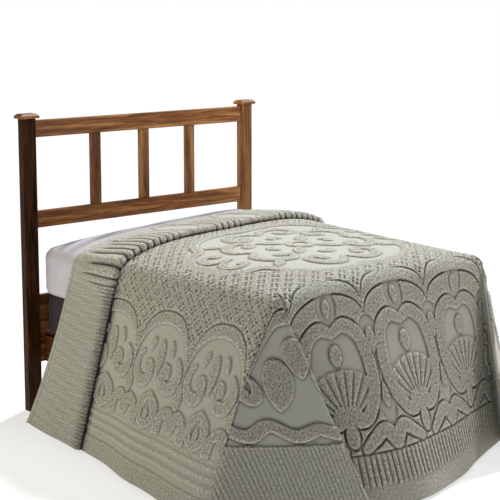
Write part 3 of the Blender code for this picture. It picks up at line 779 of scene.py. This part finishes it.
def lattice(x, y):
    """Puffed diamonds: slanting channels in pairs both ways, with a deep pit at each crossing."""
    near = []
    for slant in (x + y, x - y):
        place = np.abs((slant / (math.sqrt(2.0) * LATTICE_PITCH)) % 1.0 - 0.5) * LATTICE_PITCH
        near.append(np.exp(-(((place - CHANNEL_APART) / CHANNEL_WIDTH) ** 2)))
    uneven = 0.76 + 0.13 * (np.sin(x / 0.021) * np.sin(y / 0.034 + 1.0) + np.sin(x / 0.047 + 2.0))
    return LATTICE * (1.0 - 0.15 * np.maximum(*near) - uneven * near[0] * near[1])


def ribs(along, pitch, height):
    """Round upright ribs: a rectified wave, full at the top and sharp in the gaps."""
    return height * np.abs(np.sin(math.pi * along / pitch)) ** 0.6


def tufts(x, y):
    """The unevenness of tufted yarn: crossed short waves of several lengths and ways."""
    total = np.zeros_like(x)
    for way, length, phase in ((17.0, 0.0133, 0.3), (74.0, 0.0117, 1.9), (131.0, 0.0151, 4.1),
                               (158.0, 0.0105, 2.6), (102.0, 0.0191, 0.9), (39.0, 0.0237, 5.2)):
        angle = math.radians(way)
        total += np.sin(2 * math.pi * (x * math.cos(angle) + y * math.sin(angle)) / length + phase)
    return total / 6.0


MEDALLION = [
    round_band(0.0, 0.0, 0.055, 0.030),
    curl(0.155, 0.0, 180, 0.62, 0.085, 0.036, 1.0),
    curl(0.0, 0.165, 270, 0.62, 0.090, 0.036, -1.0),
    leaf(0.06, 0.06, 45, 0.13, 0.055),
    sweep([(0.30, 0.0), (0.36, 0.075), (0.33, 0.165), (0.24, 0.205), (0.19, 0.15), (0.235, 0.115)],
          [0.02, 0.045, 0.05, 0.045, 0.04, 0.06]),
    sweep([(0.0, 0.30), (0.075, 0.365), (0.17, 0.345), (0.20, 0.27), (0.14, 0.235), (0.11, 0.275)],
          [0.02, 0.045, 0.05, 0.045, 0.04, 0.06]),
    leaf(0.31, 0.20, 40, 0.10, 0.05),
    curl(0.47, 0.085, 250, 0.70, 0.085, 0.040, 1.0),
    sweep([(0.0, 0.44), (0.12, 0.455), (0.27, 0.43), (0.38, 0.35), (0.44, 0.235), (0.52, 0.20), (0.575, 0.12),
           (0.585, 0.0)], [0.055, 0.05, 0.05, 0.05, 0.05, 0.05, 0.05, 0.055]),
]
ARCH_PITCH = 0.40
SIDE_MOTIF = [
    curl(0.455, 0.088, 150, 0.74, 0.088, 0.056, -1.0),
    leaf(0.31, 0.0, 0, 0.17, 0.056),
    leaf(0.305, 0.062, 20, 0.075, 0.032),
    sweep([(0.70, 0.0), (0.655, 0.055), (0.60, 0.048), (0.555, 0.0)], [0.03, 0.05, 0.052, 0.03]),
    leaf(0.675, 0.0, 180, 0.065, 0.034),
    sweep([(0.66, 0.20), (0.61, 0.165), (0.63, 0.115), (0.69, 0.100)], [0.07, 0.052, 0.048, 0.065]),
    leaf(0.585, 0.20, 180, 0.12, 0.055),
]
FOOT_PITCH = 2.0 * CREST_X / 3.0
FOOT_MOTIF = [
    sweep([(0.225, 0.0), (0.20, 0.07), (0.25, 0.140), (0.36, 0.168), (0.48, 0.158), (0.575, 0.105),
           (0.60, 0.055), (0.565, 0.030)], [0.04, 0.060, 0.064, 0.064, 0.064, 0.060, 0.055, 0.075]),
    leaf(0.70, 0.0, 180, 0.11, 0.060),
    leaf(0.232, 0.2117, 0, 0.11, 0.050),
    leaf(0.085, 0.0, 0, 0.075, 0.045),
    leaf(0.285, 0.0, 0, 0.075, 0.062),
    leaf(0.56, 0.2117, 180, 0.10, 0.040),
    sweep([(0.70, 0.2117), (0.650, 0.16), (0.680, 0.10), (0.715, 0.05)], [0.07, 0.060, 0.055, 0.04]),
]
FOOT_WINDOWS = [
    leaf(0.195, 0.2117, 0, 0.19, 0.115),
    leaf(0.060, 0.0, 0, 0.125, 0.110),
    leaf(0.62, 0.2117, 180, 0.17, 0.085),
]
FAN_BASE = 0.60
FAN_REACH = 0.225
FAN_SPREAD = 62.0
FAN_PITCH = 13.0
CORNER_MOTIF = [
    leaf(0.20, 0.0, 0, 0.16, 0.09),
    leaf(0.29, 0.075, 12, 0.21, 0.115),
    curl(0.42, 0.235, 200, 0.6, 0.06, 0.045, 1.0),
    sweep([(0.575, 0.36), (0.60, 0.27), (0.555, 0.18), (0.60, 0.09), (0.575, 0.0)],
          [0.05, 0.055, 0.05, 0.055, 0.05]),
]
ARCH_APEX = 0.205
ARCH_SPRING = 0.46
FOOT_APEX = 0.030
FOOT_SPRING = 0.150
CORNER_APEX = 0.10
ARCH_WIDTH = 0.058
STRIPES = (0.745, 0.785, 0.825)
STRIPE_WIDTH = 0.020
SIDE_HEM = 0.865
RIB_TOP = 0.735
RIB_PITCH = 0.0265
FOOT_HEM = 0.870
CORNER_ROWS = 0.64
CORNER_SLANT = math.radians(50.0)
CORNER_PITCH = 0.021
LATTICE_GAP = 0.004
FULL_RUN = BEND_RUN + FALL_RUN
CORNER_LENGTH = MARKS["foot_left"] - MARKS["left_corner"]


def arch(share, apex, spring):
    """An arch's run from the crest: round at its top, with its feet at share 0 and 1."""
    return spring - (spring - apex) * np.sqrt(np.clip(1.0 - np.abs(2.0 * share - 1.0) ** 2.4, 0.0, 1.0))


def relief(x, y):
    """Pile height over the flat cloth. Its origin is on the bed's middle line at the headboard."""
    x = np.abs(x)
    run_side = x - CREST_X
    run_foot = CREST_Y - y
    on_side = (run_side > 0) & (run_foot <= 0)
    on_foot = (run_foot > 0) & (run_side <= 0)
    corner = (run_side > 0) & (run_foot > 0)
    top = ~(on_side | on_foot | corner)
    run = np.where(corner, np.hypot(run_side, run_foot), np.maximum(run_side, run_foot))
    angle = np.arctan2(np.maximum(run_foot, 0.0), np.maximum(run_side, 1e-9)) / (0.5 * math.pi)

    side_place = -run_foot / ARCH_PITCH
    foot_place = x / FOOT_PITCH + 0.5
    side_line = arch(side_place % 1.0, ARCH_APEX, ARCH_SPRING)
    foot_line = arch(foot_place % 1.0, FOOT_APEX, FOOT_SPRING)
    corner_line = arch(angle, CORNER_APEX, ARCH_SPRING + (FOOT_SPRING - ARCH_SPRING) * angle)
    line = np.where(on_foot, foot_line, np.where(corner, corner_line, side_line))
    below = run - line

    aside = np.where(on_foot, np.abs(foot_place % 1.0 - 0.5) * FOOT_PITCH,
                     np.abs(side_place % 1.0 - 0.5) * ARCH_PITCH)
    aside = np.where(corner, np.abs(angle - 0.5) * CORNER_LENGTH * run / FULL_RUN, aside)
    gap = np.abs(below) - ARCH_WIDTH / 2.0
    for region, strokes in ((on_side, SIDE_MOTIF), (on_foot, FOOT_MOTIF), (corner, CORNER_MOTIF)):
        if region.any():
            gap[region] = np.minimum(gap[region], inside(run[region], aside[region], strokes))
    height = raised(gap)

    # Round the big motifs of the foot the ground is filled with pile, but for a channel beside
    # each stroke and some smooth windows.
    if on_foot.any():
        window = np.full(x.shape, 1.0)
        window[on_foot] = inside(run[on_foot], aside[on_foot], FOOT_WINDOWS)
        outside_heart = np.hypot((run - 0.40) / 0.185, aside / 0.150)
        filled = ease((outside_heart - 1.0) / 0.05) * ease((window - 0.002) / 0.006) * ease(below / 0.01)
        filled = filled * ease((RIB_TOP - run) / 0.008)
        height = np.where(on_foot, np.maximum(height, 0.92 * raised(FILL_GAP - gap) * filled), height)

    # A fan of spokes stands in each heart, and stripes, ribs and slanting rows end the cloth.
    up = FAN_BASE - run
    reach = np.hypot(aside, up)
    turn = np.degrees(np.arctan2(aside, up))
    fan = ease((reach - 0.045) / 0.01) * ease((FAN_REACH - reach) / 0.01) * ease((FAN_SPREAD - turn) / 4.0)
    spokes = PILE * np.abs(np.cos(math.pi * turn / FAN_PITCH)) ** 0.7 * fan
    height = np.where(on_foot, np.maximum(height, spokes), height)

    stripes = sum(np.exp(-(((run - place) / (0.5 * STRIPE_WIDTH)) ** 4)) for place in STRIPES)
    side_foot = PILE * (0.25 + 0.45 * np.clip(stripes, 0.0, 1.0))
    side_foot = np.where(run > SIDE_HEM, PILE * 0.75, side_foot)
    height = np.where(on_side & (run > STRIPES[0] - 0.03), side_foot, height)

    upright = ribs(x, RIB_PITCH, PILE * 1.1) * ease((run - RIB_TOP) / 0.012)
    foot_end = np.where(run > FOOT_HEM, PILE * 0.55, upright)
    over_ribs = np.where(run > FOOT_HEM, 0.0, height)
    height = np.where(on_foot & (run > RIB_TOP), np.maximum(foot_end, over_ribs), height)

    slant = x * math.sin(CORNER_SLANT) + y * math.cos(CORNER_SLANT)
    rows = PILE * (0.35 + 0.40 * np.abs(np.sin(math.pi * slant / CORNER_PITCH)))
    height = np.where(corner & (run > CORNER_ROWS), rows, height)

    # The medallion fills an oval on the top, and lattice fills the rest up to the arches.
    centre_y = np.abs(y - MEDALLION_MIDDLE)
    oval = np.hypot(x / MEDALLION_HALF[0], centre_y / MEDALLION_HALF[1])
    outside_oval = (oval > 1.0) & (top | (below < -ARCH_WIDTH / 2.0 - LATTICE_GAP))
    height = np.where(top, raised(inside(x, centre_y, MEDALLION)), height)
    tufted = lattice(x, y) * ease((oval - 1.0) / 0.015)
    tufted = tufted * ease((-below - ARCH_WIDTH / 2.0 - LATTICE_GAP) / 0.008)
    height = np.where(outside_oval, np.maximum(height, tufted), height)
    return height * (1.0 + 0.26 * tufts(x, y))


# How the pile is finished: rough cotton tufts that scatter light, with painted shade between them.
# The smooth ground between the tufted bands is paler and has only its weave.
PILE_SHADE = (0.215, 0.202, 0.154)
PILE_TIP = (0.645, 0.628, 0.534)
GROUND_SHADE = (0.520, 0.508, 0.430)
GROUND_TIP = (0.590, 0.578, 0.495)
TUFT_DEPTH = 0.006
chenille, node, dress = new_finish(
    "chenille_pile", Roughness=0.95, Sheen_Weight=0.20, Sheen_Roughness=0.6, Specular_IOR_Level=0.15)
place = node("ShaderNodeTexCoord").outputs["UV"]
standing = node("ShaderNodeAttribute", attribute_name="pile").outputs["Fac"]
paint_shade_fac = node("ShaderNodeAttribute", attribute_name="painted_shade").outputs["Fac"]
along = node("ShaderNodeMapping", {"Vector": place}, Scale=(1.0, 0.6, 1.0)).outputs["Vector"]
yarn = node("ShaderNodeTexNoise", {"Vector": along}, Scale=140.0, Detail=3.0, Roughness=0.65).outputs[0]
pile_colour = colour_steps(node, yarn, ((0.35, PILE_SHADE), (0.60, PILE_TIP)))
ground_colour = colour_steps(node, yarn, ((0.30, GROUND_SHADE), (0.70, GROUND_TIP)))
tuft_colour = node("ShaderNodeMix", {0: standing, 6: ground_colour, 7: pile_colour}, data_type="RGBA")
# Painted shade and highlight: the colour darkens where the pile lies below the pile around it or under a
# painted shadow, and brightens where it stands above it.
shading = node("ShaderNodeMapRange", {"Value": paint_shade_fac},
               From_Min=-0.22, From_Max=0.82, To_Min=1.20, To_Max=0.07)
shaded = node("ShaderNodeVectorMath", {0: tuft_colour.outputs[2], "Scale": shading.outputs["Result"]},
              operation="SCALE")
tuft_height = node("ShaderNodeMath", {0: yarn, 1: standing}, operation="MULTIPLY")
dress(shaded.outputs[0], tuft_height.outputs[0], 1.0, TUFT_DEPTH)

# The pile is made as skins over the ground, each dipping into it at the hems.
# Their shading normals come from one grid that is a cell wider, so no seam shows between them.
HEM_DIP = 0.0012
MARGIN = 4


def softened(height, cells):
    """Height averaged over a square of cells on each side, from running sums along both axes."""
    for axis in (0, 1):
        pad = [(0, 0), (0, 0)]
        pad[axis] = (cells + 1, cells)
        total = np.cumsum(np.pad(height, pad, mode="edge"), axis=axis)
        size = height.shape[axis]
        high = np.take(total, np.arange(size) + 2 * cells + 1, axis=axis)
        low = np.take(total, np.arange(size), axis=axis)
        height = (high - low) / (2 * cells + 1)
    return height


def pile_skin(name, points, flat, height, flip, hems=(), painted_dimming=0.0):
    """One skin of pile: the ground raised by its height along the ground's normals.

    points, flat and height are grids MARGIN cells wider than the skin on every side. hems
    names the sides ("start_u", "end_u", "end_v") where the skin dips into the ground cloth.
    Its attribute pile is the share of full height. Its other attribute is painted shade: how
    far the skin lies below the pile around it, where tufts shade each other, plus the painted
    shade given in the last argument. Where the skin stands higher, it is a painted highlight.
    """
    normals = surface_normals(points, flip)
    proud = points + height[..., None] * normals
    shade = surface_normals(proud, flip)
    sunk = points - HEM_DIP * normals
    # Painted shade from the relief, plus the painted shade handed in.
    painted_shade = (softened(height, 2) - height) / PILE + painted_dimming
    core = (slice(MARGIN, -MARGIN), slice(MARGIN, -MARGIN))
    proud, shade, sunk, flat, height = proud[core], shade[core], sunk[core], flat[core], height[core]
    painted_shade = painted_shade[core]
    for hem in hems:
        axis = 0 if hem.endswith("u") else 1
        at_start = hem.startswith("start")
        edge = 0 if at_start else -1
        sides = []
        for grid in (proud, shade, sunk, flat, height, painted_shade):
            rim = np.take(sunk if grid is proud else grid, [edge], axis=axis)
            sides.append(np.concatenate([rim, grid] if at_start else [grid, rim], axis=axis))
        proud, shade, sunk, flat, height, painted_shade = sides
    count_u, count_v = height.shape
    faces = grid_quads(count_u, count_v, flip=flip)
    spread = np.abs(proud.reshape(-1, 3)[faces] - proud.reshape(-1, 3)[np.roll(faces, 1, axis=1)]).sum(axis=2)
    merged = spread.min(axis=1) < 1e-7
    whole = [tuple(face) for face in faces[~merged].tolist()]
    made = add_piece(name, proud + SHIFT, whole, chenille)
    mesh = made.data
    corners = np.empty(len(mesh.loops), dtype=np.int32)
    mesh.loops.foreach_get("vertex_index", corners)
    layer = mesh.uv_layers.new(name="flat_cloth")
    layer.data.foreach_set("uv", flat.reshape(-1, 2)[corners].astype(np.float32).ravel())
    for key, values in (("pile", np.clip(height / PILE, 0.0, 1.0)), ("painted_shade", np.clip(painted_shade, -1.0, 1.0))):
        kept = mesh.attributes.new(key, "FLOAT", "POINT")
        kept.data.foreach_set("value", values.astype(np.float32).ravel())
    mesh.normals_split_custom_set_from_vertices(shade.reshape(-1, 3).tolist())
    return made


def widened(values):
    """A row of places with MARGIN more on each end, at the same step."""
    more = np.arange(1, MARGIN + 1)
    before = values[0] + (values[0] - values[1]) * more[::-1]
    return np.concatenate([before, values, values[-1] + (values[-1] - values[-2]) * more])


# The main skins run from side to side, from under the folded band to the foot's crest. Their
# pile sinks away under the band, and a shadow of its puffed edge is painted on them.
MAIN_START = -0.655
UNDER_BAND = -0.682
UNDER_FADE = 0.028
SHADE_REACH = 0.055
SHADE_ON_TOP = 0.10
SHADE_ON_DROP = 0.22
rows = widened(np.linspace(MAIN_START, CREST_Y, int(round((MAIN_START - CREST_Y) / CELL)) + 1))
columns = widened(np.linspace(0.0, CREST_X + FULL_RUN, int(round((CREST_X + FULL_RUN) / CELL)) + 1))
for label, side in (("left", -1.0), ("right", 1.0)):
    flat = np.stack(np.meshgrid(rows, side * columns, indexing="ij")[::-1], axis=-1)
    points = strip(flat[..., 0], flat[..., 1], np.zeros(flat.shape[:2]))
    height = relief(flat[..., 0], flat[..., 1]) * ease((UNDER_BAND - flat[..., 1]) / UNDER_FADE)
    # Painted shadow of the band's edge: black right beside it, then a grey strip, darker on the drop.
    under = flat[..., 1] + BAND_EDGE_PLACE
    drop = ease((np.abs(flat[..., 0]) - CREST_X) / 0.12)
    beside = ease((under + SHADE_REACH) / (SHADE_REACH - 0.010))
    painted_dimming = ease((under + 0.010) / 0.010) + (SHADE_ON_TOP + SHADE_ON_DROP * drop) * beside
    pile_skin(f"pile_{label}_side", points, flat, height, side < 0, ("end_v",), painted_dimming)

# The foot's pile goes round both corners, in two halves that meet at the middle.
all_places = foot_places(CELL)
foot_middle = (MARKS["foot_left"] + MARKS["foot_right"]) / 2.0
runs = widened(np.linspace(0.0, FULL_RUN, int(round(FULL_RUN / CELL)) + 1))
turn_share, fall = shares(runs)


def foot_flat(places, runs):
    """Flat cloth under the foot's places: straight down at the foot, a quarter circle at a corner."""
    from_left = (places - MARKS["left_corner"]) / CORNER_LENGTH
    from_right = (MARKS["right_corner"] - places) / (MARKS["right_corner"] - MARKS["foot_right"])
    near = np.where(places < foot_middle, from_left, from_right)
    side = np.where(places < foot_middle, -1.0, 1.0)
    angle = np.clip(near, -0.05, 1.0)[:, None] * 0.5 * math.pi
    foot_x = np.clip(places - MARKS["foot_left"] - CREST_X, -CREST_X, CREST_X)[:, None]
    at_corner = (near < 1.0)[:, None]
    x = np.where(at_corner, side[:, None] * (CREST_X + runs * np.cos(angle)), foot_x)
    y = CREST_Y - runs * np.where(at_corner, np.sin(angle), 1.0)
    return np.stack([x, y + 0.0 * x], axis=-1)


# Painted shade on the foot: darker where the pile lies below the pile around it, and a little darker all
# over.
DEEP_SHADE = 0.55
FOOT_SHADE = 0.03
HIDDEN_CLOTH = (("left_fold", "left_valley"), ("right_fold", "right_valley"))
left_half = np.append(all_places[all_places < foot_middle], foot_middle)
right_half = np.insert(all_places[all_places > foot_middle], 0, foot_middle)
for label, half in (("left", left_half), ("right", right_half)):
    places = widened(half)
    points = hang(places[:, None], turn_share[None, :], fall[None, :])
    down = points[:, MARGIN : MARGIN + 1] - points[:, MARGIN + 1 : MARGIN + 2]
    points[:, :MARGIN] = points[:, MARGIN : MARGIN + 1] + down * np.arange(MARGIN, 0, -1)[None, :, None]
    flat = foot_flat(places, runs[None, :])
    height = relief(flat[..., 0], flat[..., 1])
    for fold, valley in HIDDEN_CLOTH:
        low, high = sorted((MARKS[fold], MARKS[valley]))
        pressed = ease((places - low + 0.004) / 0.012) * ease((high - places + 0.004) / 0.012)
        height = height * (1.0 - 0.95 * pressed)[:, None]
    painted_dimming = DEEP_SHADE * np.clip((softened(height, 4) - height) / PILE, 0.0, 1.0) + FOOT_SHADE
    pile_skin(f"pile_{label}_foot", points, flat, height, True, ("end_v",), painted_dimming)

# The folded head end: its tufted ribs run across the puffed edge and fade toward the hem.
# It is the cloth's own end, turned back, and holds by its weight.
BAND_CELL = 0.0045
BAND_UNDER = 0.020
FINGER_REACH = 0.34
FINGER_GROUPS = (0.0, 0.07, 0.11, 0.29, 0.34, 0.44)
FINGER_SHARES = (0.85, 0.80, 0.16, 0.16, 0.60, 1.0)
PATCH_MIDDLE = (0.200, 0.175)
PATCH_HALF = (0.082, 0.150)
DROP_REACH = 0.055
DROP_SHARE = 0.32
FINGER_PITCH = 0.040
DROP_PITCH = 0.0185
LOW_PITCH = 0.017
STITCH_PLACE = 0.026
STREAKS = ((0.0113, 0.4), (0.0187, 1.7), (0.031, 3.1), (0.053, 4.4))
STREAK_SHADE = 0.045
GAP_SHADE = 0.42
DROP_SHADE = 0.10
band = band_profile(fine=12)
steps = np.hypot(*np.diff(band, axis=0).T)
length = np.concatenate(([0.0], np.cumsum(steps)))
outer = length[np.argmin(band[:, 0])]
band_run = outer + BAND_UNDER
even = widened(np.linspace(0.0, band_run, int(round(band_run / BAND_CELL)) + 1))
band_y = np.interp(even, length, band[:, 0])
band_lift = np.interp(even, length, band[:, 1])
band_y[:MARGIN] = band_y[MARGIN] + (even[MARGIN] - even[:MARGIN])
from_edge = outer - even
for label, side in (("left", -1.0), ("right", 1.0)):
    flat = np.stack(np.meshgrid(from_edge, side * columns, indexing="ij")[::-1], axis=-1)
    points = strip(flat[..., 0], band_y[:, None], band_lift[:, None])
    x, back = np.abs(flat[..., 0]), flat[..., 1]
    drop = ease((x - CREST_X - BEND_RUN) / 0.15)
    share = np.interp(x, FINGER_GROUPS, FINGER_SHARES)
    reach = FINGER_REACH * share * (1.0 + 0.12 * np.sin(x / 0.019))
    reach = reach + (DROP_REACH - reach) * drop
    near = ease(2.4 * (reach - np.abs(back)) / reach) * (share + (DROP_SHARE - share) * drop)
    wide = np.abs(np.sin(math.pi * x / FINGER_PITCH)) ** 0.7
    fingers = wide + (np.abs(np.sin(math.pi * x / DROP_PITCH)) ** 0.7 - wide) * drop
    low_rows = np.abs(np.sin(math.pi * x / LOW_PITCH))
    height = PILE * (0.42 + 0.12 * low_rows + near * (1.45 * fingers - 0.15))
    patch = np.hypot((x - PATCH_MIDDLE[0]) / PATCH_HALF[0], (back - PATCH_MIDDLE[1]) / PATCH_HALF[1])
    smooth = ease((1.0 - patch) / 0.08)
    height = height * (1.0 - 0.85 * smooth) + PILE * 0.75 * np.exp(-(((patch - 1.10) / 0.09) ** 2))
    stitch = from_edge[MARGIN] - STITCH_PLACE - back
    height = np.where(stitch < 0.0, PILE * 0.5, height) * (1.0 - np.exp(-((stitch / 0.006) ** 2)))
    height = height * (1.0 + 0.12 * tufts(x, back))
    height = height * ease((back + 0.022) / 0.012)
    # Painted shade on the band: black under its puffed edge, a darker drop with a dark zone by the edge, a
    # dark line along the stitching and dark gaps between the ribs. The streaks make the pile lighter and
    # darker in stripes.
    streaks = sum(np.sin(2.0 * math.pi * x / wave + 3.0 * np.sin(back / 0.11 + phase))
                  for wave, phase in STREAKS)
    painted_dimming = STREAK_SHADE * streaks + DROP_SHADE * drop + 0.9 * ease((0.004 - back) / 0.012)
    painted_dimming = painted_dimming + 0.20 * drop * ease((0.075 - back) / 0.06) + 0.22 * np.exp(-((stitch / 0.005) ** 2))
    painted_dimming = painted_dimming + GAP_SHADE * near * (1.0 - drop) * (1.0 - np.clip(fingers / 0.75, 0.0, 1.0))
    hems = ("start_u", "end_v")
    pile_skin(f"pile_{label}_head", points, flat, height, side < 0, hems, painted_dimming)

# The setting: a pale floor without edges, a low sun from behind the bed's right side, three
# soft lamps, and the camera at the photograph's angle. None of it belongs to the bed.
FLOOR_SIZE = 30.0
LENS = 91.9
CAMERA_PLACE = (-4.19, -5.64, 2.115)
CAMERA_TURN = (90.0 - 8.2, 0.0, -41.3)
CAMERA_SHIFT = -0.12
AMBIENT = 0.05
FLOOR_GREY = 0.50
FLOOR_GLOW = 0.62

floor_finish = new_finish(
    "floor", Roughness=0.9, Base_Color=(FLOOR_GREY, FLOOR_GREY, FLOOR_GREY, 1.0),
    Emission_Color=(1.0, 1.0, 1.0, 1.0), Emission_Strength=FLOOR_GLOW)[0]
floor_mesh = bpy.data.meshes.new("floor")
half = FLOOR_SIZE / 2.0
floor_corners = [(-half, -half, 0), (half, -half, 0), (half, half, 0), (-half, half, 0)]
floor_mesh.from_pydata(floor_corners, [], [(0, 1, 2, 3)])
floor_mesh.materials.append(floor_finish)
floor = bpy.data.objects.new("floor", floor_mesh)
bpy.context.scene.collection.objects.link(floor)
floor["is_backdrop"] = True

world = bpy.data.worlds.new("studio")
world.use_nodes = True
tree = world.node_tree
backdrop = tree.nodes["Background"]
backdrop.inputs["Color"].default_value = (1.0, 1.0, 1.0, 1.0)
seen = tree.nodes.new("ShaderNodeLightPath")
strength = tree.nodes.new("ShaderNodeMapRange")
strength.inputs["To Min"].default_value = AMBIENT
strength.inputs["To Max"].default_value = 1.0
tree.links.new(seen.outputs["Is Camera Ray"], strength.inputs["Value"])
tree.links.new(strength.outputs["Result"], backdrop.inputs["Strength"])
bpy.context.scene.world = world
bpy.context.scene.view_settings.view_transform = "Standard"

LIGHTS = (      # name, kind, place, aim, strength, size or angle, colour
    ("key", "SUN", (3.2, 1.4, 3.8), (0.0, 0.0, 0.0), 3.25, 0.12, (0.90, 0.93, 1.0)),
    ("head", "AREA", (0.2, -0.5, 3.1), (0.0, 0.7, 1.0), 29.0, 0.8, (0.94, 0.96, 1.0)),
    ("front", "AREA", (1.6, -2.3, 1.3), (0.3, -0.9, 0.45), 8.5, 0.3, (1.0, 0.93, 0.82)),
    ("fill", "AREA", (-4.2, 2.6, 3.4), (-0.6, -0.6, 0.5), 88.0, 2.5, (1.0, 0.94, 0.70)),
)
for name, kind, place, aim, strong, size, colour in LIGHTS:
    lamp = bpy.data.lights.new(name, kind)
    lamp.energy = strong
    lamp.color = colour
    if kind == "SUN":
        lamp.angle = size
    else:
        lamp.size = size
    lit = bpy.data.objects.new(name, lamp)
    lit.location = place
    way = np.array(aim) - np.array(place)
    flat_way = math.hypot(way[0], way[1])
    lit.rotation_euler = (math.atan2(flat_way, -way[2]), 0.0, math.atan2(way[1], way[0]) - math.pi / 2.0)
    bpy.context.scene.collection.objects.link(lit)

camera = bpy.data.cameras.new("camera")
camera.lens = LENS
camera.sensor_width = 36.0
camera.shift_y = CAMERA_SHIFT
eye = bpy.data.objects.new("camera", camera)
eye.location = np.array(CAMERA_PLACE) + SHIFT
eye.rotation_euler = tuple(math.radians(angle) for angle in CAMERA_TURN)
bpy.context.scene.collection.objects.link(eye)
bpy.context.scene.camera = eye

low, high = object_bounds()
